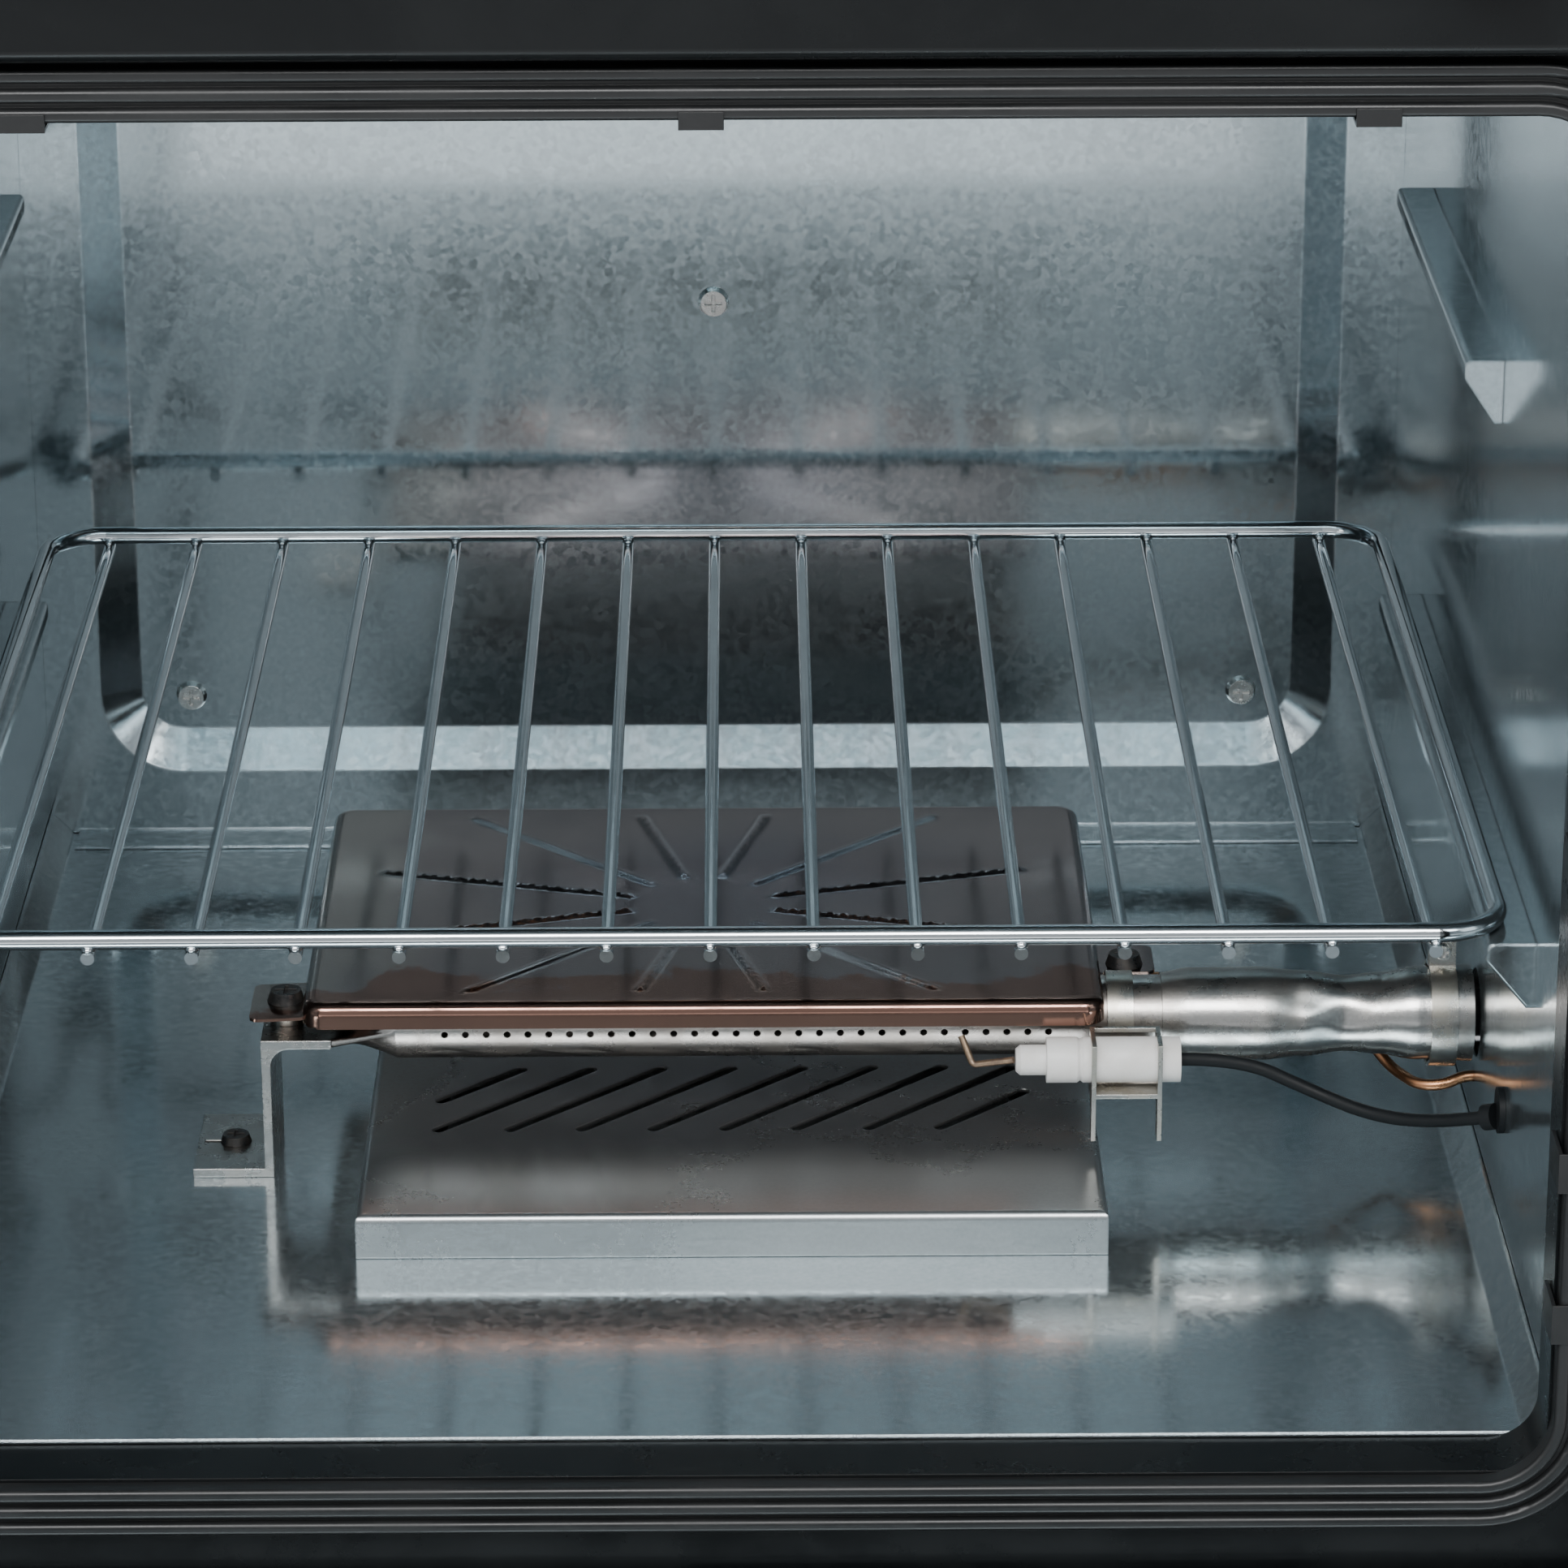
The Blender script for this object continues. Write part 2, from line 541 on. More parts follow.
leadLook = {"base": (0.005, 0.0065, 0.0075), "mark": (0.010, 0.012, 0.0135), "markScale": 120,
            "markAmount": 0.6, "grainScale": 2400, "grainAmount": 0.2,
            "roughness": (0.5, 0.66), "bump": (0.2, 0.00006)}


def leadRubber():
    # silicone sleeve with a dusty bloom
    material, tree, shader, where = startMaterial("lead_rubber", 0.0, 0.25)
    surface = finishSurface(tree, shader, where, leadLook)
    addBump(tree, shader, surface.outputs["Height"], *leadLook["bump"])
    return material


woolLook = {"base": (0.62, 0.57, 0.42), "mark": (0.48, 0.42, 0.28), "markScale": 38, "markAmount": 0.8,
            "grainScale": 420, "grainAmount": 0.5, "roughness": (0.85, 1.0), "lineStretch": (0.15, 0.15, 1),
            "lineScale": 900.0, "bump": (0.8, 0.001)}


def mineralWool():
    material, tree, shader, where = startMaterial("mineral_wool", 0.0, 0.2)
    surface = finishSurface(tree, shader, where, woolLook)
    fibres = rolledLines(tree, where, woolLook)
    addBump(tree, shader, calc(tree, "ADD", surface.outputs["Height"], fibres), *woolLook["bump"])
    return material


handleLook = {"base": (0.56, 0.57, 0.575), "mark": (0.46, 0.47, 0.475), "markScale": 30, "markAmount": 0.5,
              "grainScale": 1500, "grainAmount": 0.1, "roughness": (0.22, 0.36), "lineStretch": (0.015, 1, 1),
              "lineScale": 2200.0, "bump": (0.25, 0.00008)}


def handleSteel():
    # brushed along the bar
    material, tree, shader, where = startMaterial("handle_steel", 1.0)
    surface = finishSurface(tree, shader, where, handleLook)
    lines = rolledLines(tree, where, handleLook)
    addBump(tree, shader, calc(tree, "ADD", surface.outputs["Height"], lines), *handleLook["bump"])
    return material


glassLook = {"colour": (0.72, 0.76, 0.75, 1), "bend": 1.5, "smearScale": 14, "smearDetail": 5,
             "smear": (0.4, 0.75, 0.02, 0.12)}


def windowGlass():
    # clear glass, a little less so where it has been wiped
    material, tree, shader, where = startMaterial("window_glass")
    shader.inputs["Base Color"].default_value = glassLook["colour"]
    shader.inputs["Transmission Weight"].default_value = 1
    shader.inputs["IOR"].default_value = glassLook["bend"]
    smears = place(tree, "ShaderNodeTexNoise")
    tree.links.new(where, smears.inputs["Vector"])
    smears.inputs["Scale"].default_value = glassLook["smearScale"]
    smears.inputs["Detail"].default_value = glassLook["smearDetail"]
    tree.links.new(remap(tree, smears.outputs[0], *glassLook["smear"]), shader.inputs["Roughness"])
    return material


materials = {name: plainMaterial(name) for name in plainLooks}
for maker in (cavitySteel, galvanisedSteel, baffleSteel, burnerSteel, brightBracket, spreaderSteel,
              rackChrome, electrodeWire, leadRubber, mineralWool, handleSteel, windowGlass):
    made = maker()
    materials[made.name] = made
print("materials ready:", len(materials))


slotOf = {entry["node"]: entry["material_slot"] for entry in frame["record"]["subparts"]}
for name, node in nodes.items():
    node.data.materials.clear()
    node.data.materials.append(materials[slotOf[name]])


# ---- pieces

def addPiece(name, data, body, slot, replaced=()):
    piece = bpy.data.objects.new(name, data)
    bpy.context.collection.objects.link(piece)
    data.materials.clear()
    data.materials.append(materials[slot])
    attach(piece, body)
    if replaced:
        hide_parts(*replaced)
    return piece


def smoothMesh(data, angle=35):
    data.shade_smooth()
    data.set_sharp_from_angle(angle=math.radians(angle))


leadSet = {"radius": 1.75, "length": 0.0855,
           "route": [(122.1, -87, 147), (138, -87, 147), (155, -92, 140.5), (171, -99.5, 136.2),
                     (186, -109.5, 138.4), (198.2, -118.4, 143.8)]}


def makeIgniterLead():
    curve = bpy.data.curves.new("igniterLead", "CURVE")
    curve.dimensions = "3D"
    curve.bevel_depth = leadSet["radius"] * mm
    curve.bevel_resolution = 6
    curve.use_fill_caps = True
    line = curve.splines.new("NURBS")
    line.points.add(len(leadSet["route"]) - 1)
    for point, spot in zip(line.points, leadSet["route"]):
        point.co = (*(Vector(spot) * mm), 1)
    line.order_u = 3
    line.use_endpoint_u = True
    line.resolution_u = 16
    lead = addPiece("igniter_lead_sleeve", curve, "cabinet", "lead_rubber", ["igniter_lead"])


makeIgniterLead()
print("igniter lead laid")


# ---- geometry node helpers

def newTree(name, ins):
    tree, given, out = newGroup(name, [("Geometry", "NodeSocketGeometry", None)] + ins,
                                [("Geometry", "NodeSocketGeometry")], "GeometryNodeTree")
    return tree, given, out


def finishTree(tree, out, geometry, material):
    real = place(tree, "GeometryNodeRealizeInstances")
    paint = place(tree, "GeometryNodeSetMaterial")
    paint.inputs["Material"].default_value = material
    tree.links.new(geometry, real.inputs[0])
    tree.links.new(real.outputs[0], paint.inputs[0])
    tree.links.new(paint.outputs[0], out["Geometry"])


def runTree(tree, name, values, startData=None):
    # applies the tree to a starting mesh and hands back the plain result
    carrier = bpy.data.objects.new(name + "Carrier", startData or bpy.data.meshes.new(name + "Start"))
    bpy.context.collection.objects.link(carrier)
    modifier = carrier.modifiers.new("build", "NODES")
    modifier.node_group = tree
    keys = {item.name: item.identifier for item in tree.interface.items_tree if item.in_out == "INPUT"}
    for label, value in values.items():
        modifier[keys[label]] = value
    carrier.update_tag()
    bpy.context.view_layer.update()
    graph = bpy.context.evaluated_depsgraph_get()
    data = bpy.data.meshes.new_from_object(carrier.evaluated_get(graph))
    data.name = name
    bpy.data.objects.remove(carrier)
    return data


# ---- flame spreader

spreaderSet = {"cell": 0.9, "sheet": 0.8, "bend": 2.2, "corner": 3.0, "flange": 6.0, "height": 6.0,
               "ribCount": 12, "ribTurn": 15.0, "ribStart": 19.0, "ribEnd": 92.0, "ribHalf": 1.7,
               "ribHeight": 0.9, "margin": 8.0, "starX": -3.0, "starY": -10.0, "warp": 0.35,
               "leftTab": {"long": 15.0, "y": (-76, -52), "screw": (-113, -63), "joggle": 1.2, "run": 3.0},
               "rightTab": {"long": 16.0, "y": (-46.7, -28), "screw": (110, -41)},
               "tab": {"drop": 5.0, "lap": 1.0, "hole": 2.1, "corner": 2.5, "cornerSteps": 6},
               "sway": {"scale": 14, "level": 0.65, "fade": (-0.006, 0.012)}, "mergeGap": 0.00012,
               "sliverArea": 2e-9, "smooth": 40}


def spreaderTree():
    # a flat grid pressed with radial ribs, its rim rolled down over a rounded outline
    tree, given, out = newTree("pressedSpreader", [
        (label, "NodeSocketFloat", value) for label, value in (
            ("Width", 0.2), ("Depth", 0.14), ("Centre X", 0.0), ("Centre Y", 0.0), ("Top", 0.16),
            ("Cell", 0.001), ("Bend", 0.002),
            ("Corner", 0.003), ("Flange", 0.006), ("Rib Count", 12.0), ("Rib Turn", 15.0),
            ("Rib Start", 0.019), ("Rib End", 0.092), ("Rib Half", 0.0025), ("Rib Height", 0.001),
            ("Margin", 0.008), ("Star X", 0.0), ("Star Y", 0.0), ("Warp", 0.0003))])
    spare = calc(tree, "ADD", calc(tree, "MULTIPLY", given["Bend"], math.pi / 2 - 1), given["Flange"])
    grid = place(tree, "GeometryNodeMeshGrid")
    for axis, count, size in (("X", "Vertices X", "Width"), ("Y", "Vertices Y", "Depth")):
        full = calc(tree, "ADD", given[size], calc(tree, "MULTIPLY", spare, 2.0))
        tree.links.new(full, grid.inputs["Size " + axis])
        steps = place(tree, "FunctionNodeFloatToInt")
        tree.links.new(calc(tree, "DIVIDE", full, given["Cell"]), steps.inputs[0])
        tree.links.new(steps.outputs[0], grid.inputs[count])
    spot = place(tree, "ShaderNodeSeparateXYZ")
    tree.links.new(place(tree, "GeometryNodeInputPosition").outputs[0], spot.inputs[0])
    x, y = spot.outputs["X"], spot.outputs["Y"]

    # distance beyond the rounded outline of the flat, and the way there
    inset = calc(tree, "ADD", given["Bend"], given["Corner"])
    coreX = calc(tree, "SUBTRACT", calc(tree, "DIVIDE", given["Width"], 2.0), inset)
    coreY = calc(tree, "SUBTRACT", calc(tree, "DIVIDE", given["Depth"], 2.0), inset)
    nearX = calc(tree, "MAXIMUM", calc(tree, "MINIMUM", x, coreX), calc(tree, "MULTIPLY", coreX, -1.0))
    nearY = calc(tree, "MAXIMUM", calc(tree, "MINIMUM", y, coreY), calc(tree, "MULTIPLY", coreY, -1.0))
    offX = calc(tree, "SUBTRACT", x, nearX)
    offY = calc(tree, "SUBTRACT", y, nearY)
    reach = calc(tree, "SQRT", calc(tree, "ADD", calc(tree, "MULTIPLY", offX, offX),
                                    calc(tree, "MULTIPLY", offY, offY)))
    safe = calc(tree, "MAXIMUM", reach, 1e-7)
    wayX = calc(tree, "DIVIDE", offX, safe)
    wayY = calc(tree, "DIVIDE", offY, safe)
    longest = calc(tree, "ADD", calc(tree, "MULTIPLY", given["Bend"], math.pi / 2),
                   calc(tree, "SUBTRACT", given["Flange"], given["Bend"]))
    past = calc(tree, "MAXIMUM", calc(tree, "SUBTRACT", reach, given["Corner"]), 0.0)
    past = calc(tree, "MINIMUM", past, longest)
    arc = calc(tree, "MINIMUM", calc(tree, "DIVIDE", past, given["Bend"]), math.pi / 2)
    straight = calc(tree, "SUBTRACT", past, calc(tree, "MULTIPLY", arc, given["Bend"]))
    outward = calc(tree, "ADD", calc(tree, "MINIMUM", reach, given["Corner"]),
                   calc(tree, "MULTIPLY", given["Bend"], calc(tree, "SINE", arc)))
    fall = calc(tree, "ADD", straight, calc(tree, "MULTIPLY", given["Bend"],
                                            calc(tree, "SUBTRACT", 1.0, calc(tree, "COSINE", arc))))
    newX = calc(tree, "ADD", nearX, calc(tree, "MULTIPLY", wayX, outward))
    newY = calc(tree, "ADD", nearY, calc(tree, "MULTIPLY", wayY, outward))

    # ribs: fold the angle round the star's centre onto one rib
    fromX = calc(tree, "SUBTRACT", calc(tree, "ADD", x, given["Centre X"]), given["Star X"])
    fromY = calc(tree, "SUBTRACT", calc(tree, "ADD", y, given["Centre Y"]), given["Star Y"])
    radius = calc(tree, "SQRT", calc(tree, "ADD", calc(tree, "MULTIPLY", fromX, fromX),
                                     calc(tree, "MULTIPLY", fromY, fromY)))
    sector = calc(tree, "DIVIDE", 2 * math.pi, given["Rib Count"])
    turned = calc(tree, "RADIANS", given["Rib Turn"])
    angle = calc(tree, "SUBTRACT", calc(tree, "ARCTAN2", fromY, fromX), turned)
    folded = calc(tree, "SUBTRACT", angle, calc(tree, "MULTIPLY", sector, calc(
        tree, "ROUND", calc(tree, "DIVIDE", angle, sector))))
    side = calc(tree, "ABSOLUTE", calc(tree, "MULTIPLY", radius, calc(tree, "SINE", folded)))
    toEdgeX = calc(tree, "SUBTRACT", calc(tree, "DIVIDE", given["Width"], 2.0), calc(tree, "ABSOLUTE", x))
    toEdgeY = calc(tree, "SUBTRACT", calc(tree, "DIVIDE", given["Depth"], 2.0), calc(tree, "ABSOLUTE", y))
    edge = calc(tree, "SUBTRACT", calc(tree, "MINIMUM", toEdgeX, toEdgeY), given["Margin"])
    inner = calc(tree, "SUBTRACT", radius, given["Rib Start"])
    outer = calc(tree, "SUBTRACT", given["Rib End"], radius)
    room = calc(tree, "MINIMUM", calc(tree, "MINIMUM", inner, outer), edge)
    ends = remap(tree, room, calc(tree, "MULTIPLY", given["Rib Half"], -0.5), given["Rib Half"])
    crest = remap(tree, side, given["Rib Half"], calc(tree, "MULTIPLY", given["Rib Half"], 0.15))
    rib = calc(tree, "MULTIPLY", calc(tree, "MULTIPLY", ends, crest), given["Rib Height"])

    # the plate has pulled a little out of flat with heat
    sway = place(tree, "ShaderNodeTexNoise")
    sway.inputs["Scale"].default_value = spreaderSet["sway"]["scale"]
    sway.inputs["Detail"].default_value = 0
    warp = calc(tree, "SUBTRACT", sway.outputs[0], spreaderSet["sway"]["level"])
    warp = calc(tree, "MINIMUM", calc(tree, "MULTIPLY", warp, given["Warp"]), 0.0)
    warp = calc(tree, "MULTIPLY", warp, remap(tree, edge, *spreaderSet["sway"]["fade"]))
    height = calc(tree, "SUBTRACT", calc(tree, "ADD", calc(tree, "ADD", given["Top"], rib), warp), fall)
    join = place(tree, "ShaderNodeCombineXYZ")
    tree.links.new(calc(tree, "ADD", newX, given["Centre X"]), join.inputs[0])
    tree.links.new(calc(tree, "ADD", newY, given["Centre Y"]), join.inputs[1])
    tree.links.new(height, join.inputs[2])
    bend = place(tree, "GeometryNodeSetPosition")
    tree.links.new(grid.outputs["Mesh"], bend.inputs["Geometry"])
    tree.links.new(join.outputs[0], bend.inputs["Position"])
    weld = place(tree, "GeometryNodeMergeByDistance")
    weld.inputs["Distance"].default_value = spreaderSet["mergeGap"]
    tree.links.new(bend.outputs[0], weld.inputs["Geometry"])
    finishTree(tree, out, weld.outputs[0], materials["spreader_steel"])
    return tree


def addTab(mesh, x, y, top, screwAt, joggle=(0, 1, 0)):
    # an ear with rounded corners, a screw hole and a short joggle up to the plate
    middle = Vector(((x[0] + x[1]) / 2, (y[0] + y[1]) / 2))
    half = Vector(((x[1] - x[0]) / 2, (y[1] - y[0]) / 2))
    tab, thick = spreaderSet["tab"], spreaderSet["sheet"]
    corner, holeRadius, steps = tab["corner"], tab["hole"], tab["cornerSteps"]
    outline = []
    for cornerX, cornerY, start in ((1, 1, 0), (-1, 1, 90), (-1, -1, 180), (1, -1, 270)):
        for step in range(steps + 1):
            angle = math.radians(start + 90 * step / steps)
            outline.append((middle.x + cornerX * (half.x - corner) + corner * math.cos(angle),
                            middle.y + cornerY * (half.y - corner) + corner * math.sin(angle)))
    hole = []
    for spot in outline:
        away = math.atan2(spot[1] - screwAt[1], spot[0] - screwAt[0])
        hole.append((screwAt[0] + holeRadius * math.cos(away), screwAt[1] + holeRadius * math.sin(away)))
    rings = []
    for points, z in ((outline, top), (outline, top - thick), (hole, top - thick), (hole, top)):
        ring = []
        for px, py in points:
            lift = joggle[2] * max(0.0, min(1.0, (px - joggle[0]) / (joggle[1] - joggle[0])))
            ring.append(mesh.verts.new((px * mm, py * mm, (z + lift) * mm)))
        rings.append(ring)
    for lower, upper in zip(rings, rings[1:] + rings[:1]):
        count = len(lower)
        for index in range(count):
            after = (index + 1) % count
            mesh.faces.new((lower[index], lower[after], upper[after], upper[index]))


def makeSpreader():
    s = spreaderSet
    low, high = (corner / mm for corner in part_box("flame_spreader"))
    left, right, tab = s["leftTab"], s["rightTab"], s["tab"]
    plateX = (low.x + left["long"], high.x - right["long"])
    plateY = (low.y, high.y)
    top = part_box("flame_spreader")[0].z / mm + s["height"]
    values = {"Width": (plateX[1] - plateX[0]) * mm, "Depth": (plateY[1] - plateY[0]) * mm,
              "Centre X": sum(plateX) / 2 * mm, "Centre Y": sum(plateY) / 2 * mm, "Top": top * mm,
              "Cell": s["cell"] * mm, "Bend": s["bend"] * mm, "Corner": s["corner"] * mm,
              "Flange": s["flange"] * mm, "Rib Count": float(s["ribCount"]), "Rib Turn": s["ribTurn"],
              "Rib Start": s["ribStart"] * mm, "Rib End": s["ribEnd"] * mm, "Rib Half": s["ribHalf"] * mm,
              "Rib Height": s["ribHeight"] * mm, "Margin": s["margin"] * mm, "Star X": s["starX"] * mm,
              "Star Y": s["starY"] * mm, "Warp": s["warp"] * mm}
    data = runTree(spreaderTree(), "flame_spreader_plate", values)
    mesh = bmesh.new()
    mesh.from_mesh(data)
    slivers = [face for face in mesh.faces if face.calc_area() < s["sliverArea"]]
    bmesh.ops.delete(mesh, geom=slivers, context="FACES")
    loose = [vert for vert in mesh.verts if not vert.link_faces]
    bmesh.ops.delete(mesh, geom=loose, context="VERTS")
    bmesh.ops.recalc_face_normals(mesh, faces=mesh.faces)
    if sum(face.normal.z for face in mesh.faces) < 0:
        bmesh.ops.reverse_faces(mesh, faces=mesh.faces)
    bmesh.ops.solidify(mesh, geom=list(mesh.faces), thickness=-s["sheet"] * mm)
    joggle = (plateX[0] - left["run"], plateX[0] + tab["lap"], left["joggle"])
    addTab(mesh, (low.x, plateX[0] + tab["lap"]), left["y"], top - tab["drop"], left["screw"], joggle)
    addTab(mesh, (plateX[1] - tab["lap"], high.x), right["y"], top - tab["drop"], right["screw"])
    bmesh.ops.recalc_face_normals(mesh, faces=mesh.faces)
    mesh.to_mesh(data)
    mesh.free()
    smoothMesh(data, s["smooth"])
    addPiece("flame_spreader_plate", data, "cabinet", "spreader_steel", ["flame_spreader"])


makeSpreader()
print("flame spreader pressed")


# ---- venturi

venturiSet = {"wall": 0.8, "around": 96, "along": 150, "deepestDent": 2.2, "dentFade": 1.8,
              "innerShare": 0.85, "endRadius": 12.95, "smooth": 50}
venturiProfile = [  # distance from the narrow end, radius there (mm)
    (0, 11.2), (8, 12.35), (26, 12.45), (37, 11.5), (49, 10.1), (58, 10.9), (68, 12.5)]
venturiDents = [  # place along (mm), turn (degrees up from the front), length, width (mm), depth
    (158, 40, 10, 7, 1.3), (168, 16, 8, 6, 1.0), (161, -14, 10, 6, 0.6), (173, 60, 8, 7, 0.8)]


def venturiRadius(x, low, high):
    # pinched waist, flared at both ends
    stations = [(low + along, radius) for along, radius in venturiProfile] + [(high, venturiSet["endRadius"])]
    for (x0, r0), (x1, r1) in zip(stations, stations[1:]):
        if x <= x1:
            share = (x - x0) / (x1 - x0)
            share = share * share * (3 - 2 * share)
            return r0 + (r1 - r0) * share
    return stations[-1][1]


def makeVenturi():
    s = venturiSet
    low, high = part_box("venturi_tube")
    centre = Vector((0, (low.y + high.y) / 2, (low.z + high.z) / 2)) / mm
    mesh = bmesh.new()
    rings = {}
    for layer, inset in (("outer", 0.0), ("inner", s["wall"])):
        rings[layer] = []
        for step in range(s["along"] + 1):
            x = low.x / mm + (high.x - low.x) / mm * step / s["along"]
            wide = venturiRadius(x, low.x / mm, high.x / mm)
            ring = []
            for turn in range(s["around"]):
                angle = 2 * math.pi * turn / s["around"]
                radius = wide - inset
                push = 0.0
                for dentX, dentTurn, dentLong, dentWide, depth in venturiDents:
                    gap = math.remainder(angle - math.radians(180 - dentTurn), 2 * math.pi) * radius
                    span = ((x - dentX) / dentLong) ** 2 + (gap / dentWide) ** 2
                    push += depth * math.exp(-s["dentFade"] * span)
                radius -= min(push, s["deepestDent"]) * (s["innerShare"] if layer == "inner" else 1)
                ring.append(mesh.verts.new(Vector((x, centre.y + radius * math.cos(angle),
                                                   centre.z + radius * math.sin(angle))) * mm))
            rings[layer].append(ring)
    count = s["around"]
    for layer in rings.values():
        for ring, following in zip(layer, layer[1:]):
            for turn in range(count):
                after = (turn + 1) % count
                mesh.faces.new((ring[turn], ring[after], following[after], following[turn]))
    for end in (0, -1):
        first, second = rings["outer"][end], rings["inner"][end]
        for turn in range(count):
            after = (turn + 1) % count
            mesh.faces.new((first[turn], first[after], second[after], second[turn]))
    bmesh.ops.recalc_face_normals(mesh, faces=mesh.faces)
    data = bpy.data.meshes.new("venturi_sleeve")
    mesh.to_mesh(data)
    mesh.free()
    smoothMesh(data, s["smooth"])
    addPiece("venturi_sleeve", data, "cabinet", "burner_steel", ["venturi_tube"])


makeVenturi()
print("venturi formed")


# ---- rack welds

rackSet = {"pitch": 25.4, "side": 7, "railRadius": 2.5, "weld": 1.9, "weldRise": 0.4, "seed": 3,
           "least": (0.85, 1.25, 0.62), "most": (1.1, 1.6, 0.82)}


def weldTree():
    # one small weld on each point, stretched along its rod
    tree, given, out = newTree("rackWelds", [("Size", "NodeSocketFloat", 0.002),
                                             ("Seed", "NodeSocketInt", 3)])
    ball = place(tree, "GeometryNodeMeshIcoSphere")
    ball.inputs["Subdivisions"].default_value = 3
    tree.links.new(given["Size"], ball.inputs["Radius"])
    vary = place(tree, "FunctionNodeRandomValue", data_type="FLOAT_VECTOR")
    vary.inputs[0].default_value = rackSet["least"]
    vary.inputs[1].default_value = rackSet["most"]
    tree.links.new(given["Seed"], vary.inputs["Seed"])
    spread = place(tree, "GeometryNodeInstanceOnPoints")
    tree.links.new(given["Geometry"], spread.inputs["Points"])
    tree.links.new(ball.outputs["Mesh"], spread.inputs["Instance"])
    tree.links.new(vary.outputs[0], spread.inputs["Scale"])
    soft = place(tree, "GeometryNodeSetShadeSmooth")
    tree.links.new(spread.outputs[0], soft.inputs[0])
    finishTree(tree, out, soft.outputs[0], materials["rack_chrome"])
    return tree


def makeRackWelds():
    s = rackSet
    low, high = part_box("rack_frame")
    crossing = low.z + s["weldRise"] * mm
    points = []
    for step in range(-s["side"], s["side"] + 1):
        for y in (low.y + s["railRadius"] * mm, high.y - s["railRadius"] * mm):
            points.append((step * s["pitch"] * mm, y, crossing))
    start = bpy.data.meshes.new("weldPoints")
    start.from_pydata(points, [], [])
    data = runTree(weldTree(), "rack_welds", {"Size": s["weld"] * mm, "Seed": s["seed"]}, start)
    addPiece("rack_welds", data, "rack", "rack_chrome")


makeRackWelds()
print("rack welds set")


# ---- door springs

springSet = {"coil": 4.5, "wire": 0.8, "pitch": 2.6, "closedShare": 0.33, "coilSteps": 28, "wireSides": 8,
             "smooth": 60}


def springTree():
    # a coil of wire standing on each point
    tree, given, out = newTree("doorSpring", [(label, "NodeSocketFloat", value) for label, value in (
        ("Coil", 0.0045), ("Wire", 0.0008), ("Height", 0.06), ("Turns", 24.0))])
    coil = place(tree, "GeometryNodeCurveSpiral")
    coil.inputs["Resolution"].default_value = springSet["coilSteps"]
    for label, source in (("Rotations", "Turns"), ("Start Radius", "Coil"), ("End Radius", "Coil"),
                          ("Height", "Height")):
        tree.links.new(given[source], coil.inputs[label])
    section = place(tree, "GeometryNodeCurvePrimitiveCircle")
    section.inputs["Resolution"].default_value = springSet["wireSides"]
    tree.links.new(given["Wire"], section.inputs["Radius"])
    tube = place(tree, "GeometryNodeCurveToMesh")
    tree.links.new(coil.outputs[0], tube.inputs["Curve"])
    tree.links.new(section.outputs[0], tube.inputs["Profile Curve"])
    tube.inputs["Fill Caps"].default_value = True
    stand = place(tree, "GeometryNodeInstanceOnPoints")
    tree.links.new(given["Geometry"], stand.inputs["Points"])
    tree.links.new(tube.outputs[0], stand.inputs["Instance"])
    finishTree(tree, out, stand.outputs[0], materials["spring_steel"])
    return tree


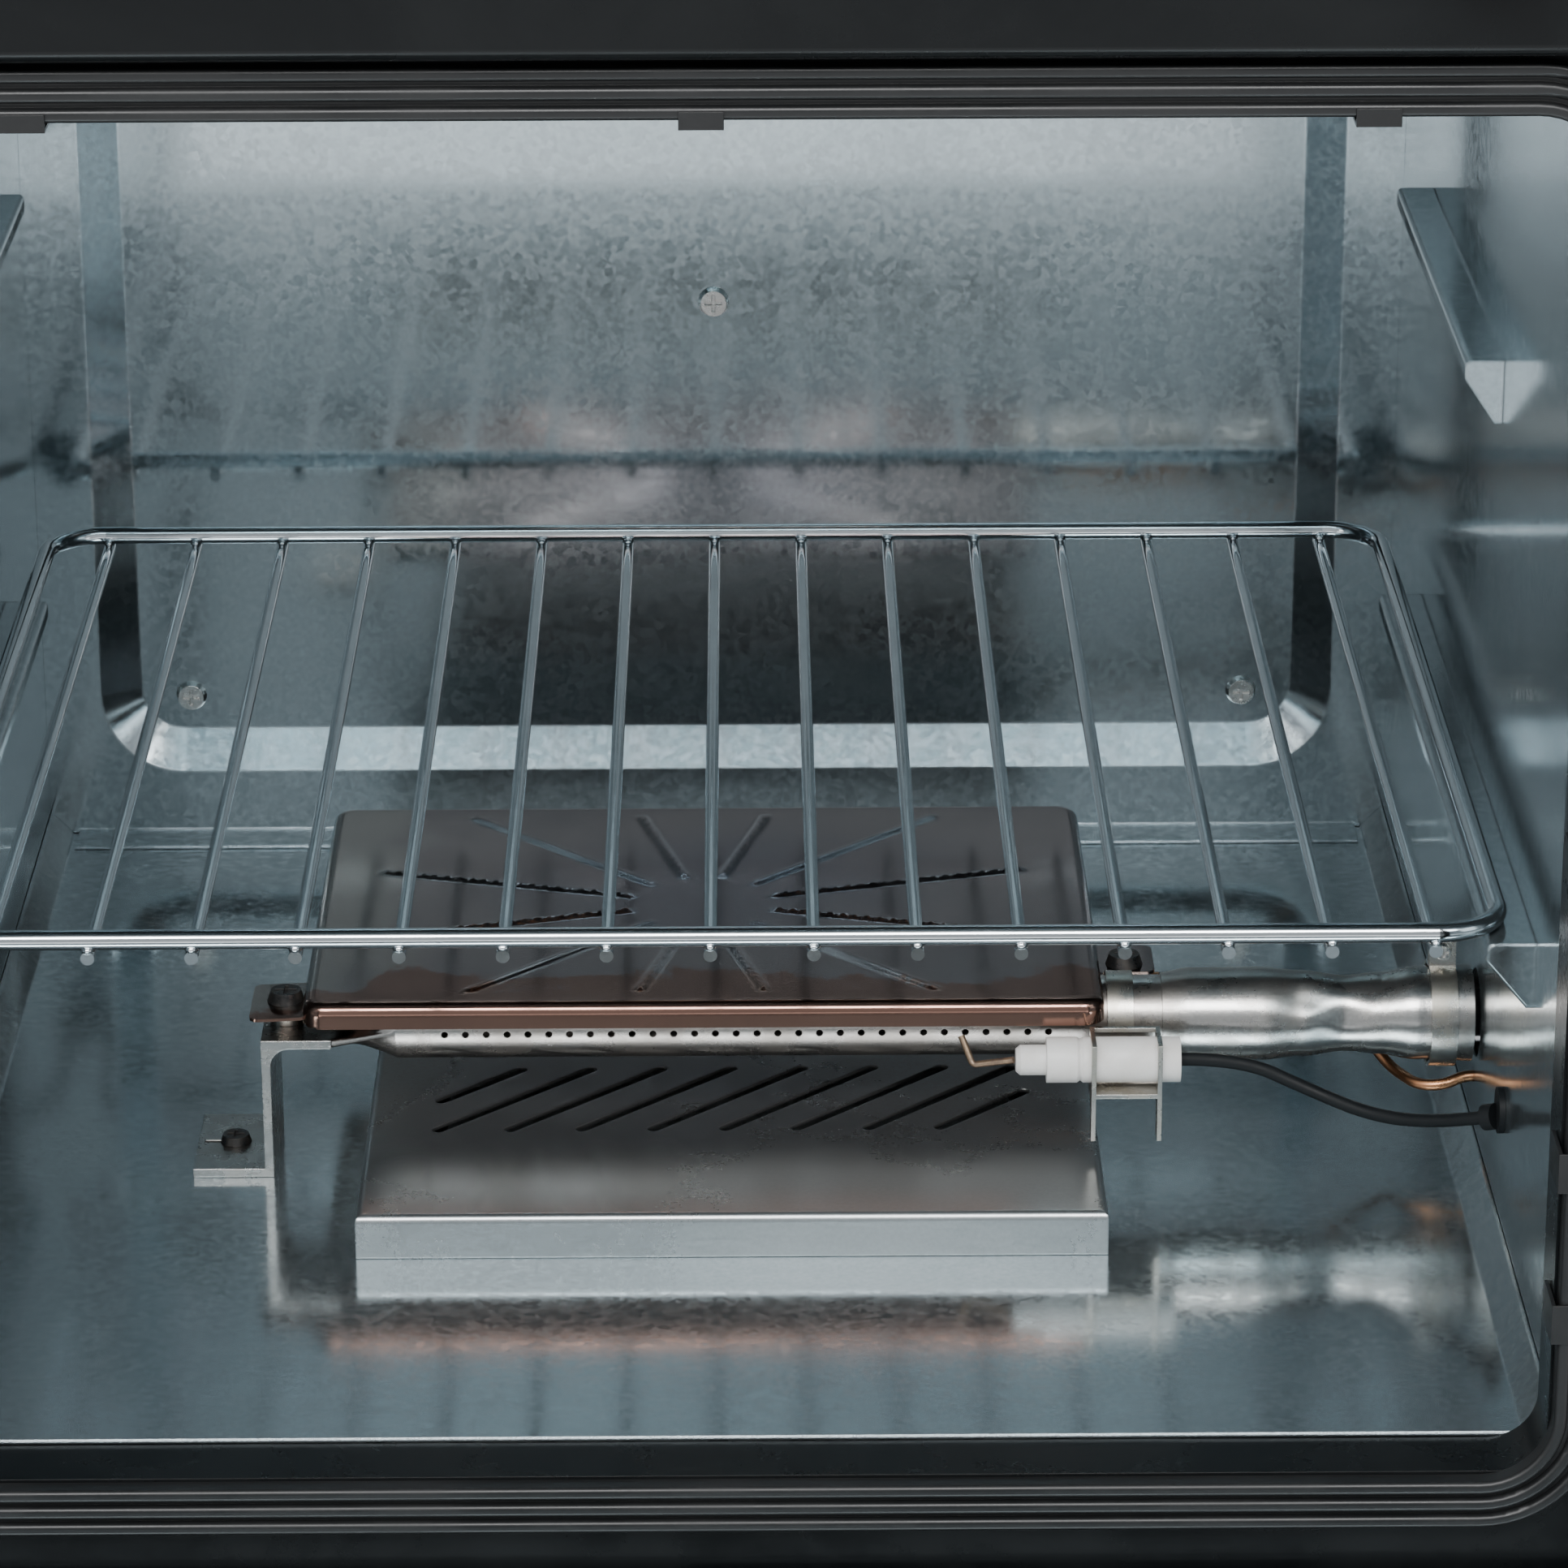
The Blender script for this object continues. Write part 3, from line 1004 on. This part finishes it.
def makeDoorSprings():
    s = springSet
    low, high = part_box("hinge_springs")
    outside = (s["coil"] + s["wire"]) * mm
    foot = low.z + s["wire"] * mm
    height = high.z - low.z - 2 * s["wire"] * mm
    start = bpy.data.meshes.new("springFeet")
    start.from_pydata([(side * (high.x - outside), (low.y + high.y) / 2, foot) for side in (-1, 1)], [], [])
    values = {"Coil": s["coil"] * mm, "Wire": s["wire"] * mm, "Height": height,
              "Turns": height / mm / s["pitch"]}
    data = runTree(springTree(), "door_springs", values, start)
    smoothMesh(data, s["smooth"])
    springs = addPiece("door_springs", data, "cabinet", "spring_steel", ["hinge_springs"])
    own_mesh(springs)


makeDoorSprings()
print("door springs coiled")


# ---- floor and light

lightSet = {"world": (0.80, 0.84, 0.87, 1), "worldStrength": 0.62,
            "front": {"place": (0.0, -1.9, 1.85), "aim": (0, 0.05, 0.26), "size": (2.2, 0.8), "power": 92},
            "side": {"place": (-1.4, -1.3, 1.1), "aim": (0, 0, 0.25), "size": (0.9, 1.2), "power": 9},
            "top": {"place": (0.3, 0.2, 2.2), "aim": (0, 0, 0.3), "size": (1.6, 1.2), "power": 16}}


def makeLights():
    world = bpy.data.worlds.new("studio")
    bpy.context.scene.world = world
    world.use_nodes = True
    sky = world.node_tree.nodes["Background"]
    sky.inputs["Color"].default_value = lightSet["world"]
    sky.inputs["Strength"].default_value = lightSet["worldStrength"]
    for name in ("front", "side", "top"):
        look = lightSet[name]
        data = bpy.data.lights.new(name, "AREA")
        data.shape = "RECTANGLE"
        data.size, data.size_y = look["size"]
        data.energy = look["power"]
        lamp = bpy.data.objects.new(name, data)
        lamp.location = look["place"]
        aim = Vector(look["aim"]) - Vector(look["place"])
        lamp.rotation_euler = aim.to_track_quat("-Z", "Y").to_euler()
        bpy.context.collection.objects.link(lamp)


floorSet = {"half": 4, "gap": 0.0003, "colour": (0.72, 0.73, 0.74, 1), "roughness": 0.75}


def makeFloor():
    data = bpy.data.meshes.new("studioFloor")
    mesh = bmesh.new()
    bmesh.ops.create_grid(mesh, x_segments=1, y_segments=1, size=floorSet["half"])
    mesh.to_mesh(data)
    mesh.free()
    material, tree, shader, where = startMaterial("studioFloor")
    shader.inputs["Base Color"].default_value = floorSet["colour"]
    shader.inputs["Roughness"].default_value = floorSet["roughness"]
    data.materials.append(material)
    floor = bpy.data.objects.new("studioFloor", data)
    floor.location.z = cadBox[0][2] - floorSet["gap"]
    bpy.context.collection.objects.link(floor)


makeFloor()
makeLights()
print("floor and lights set")
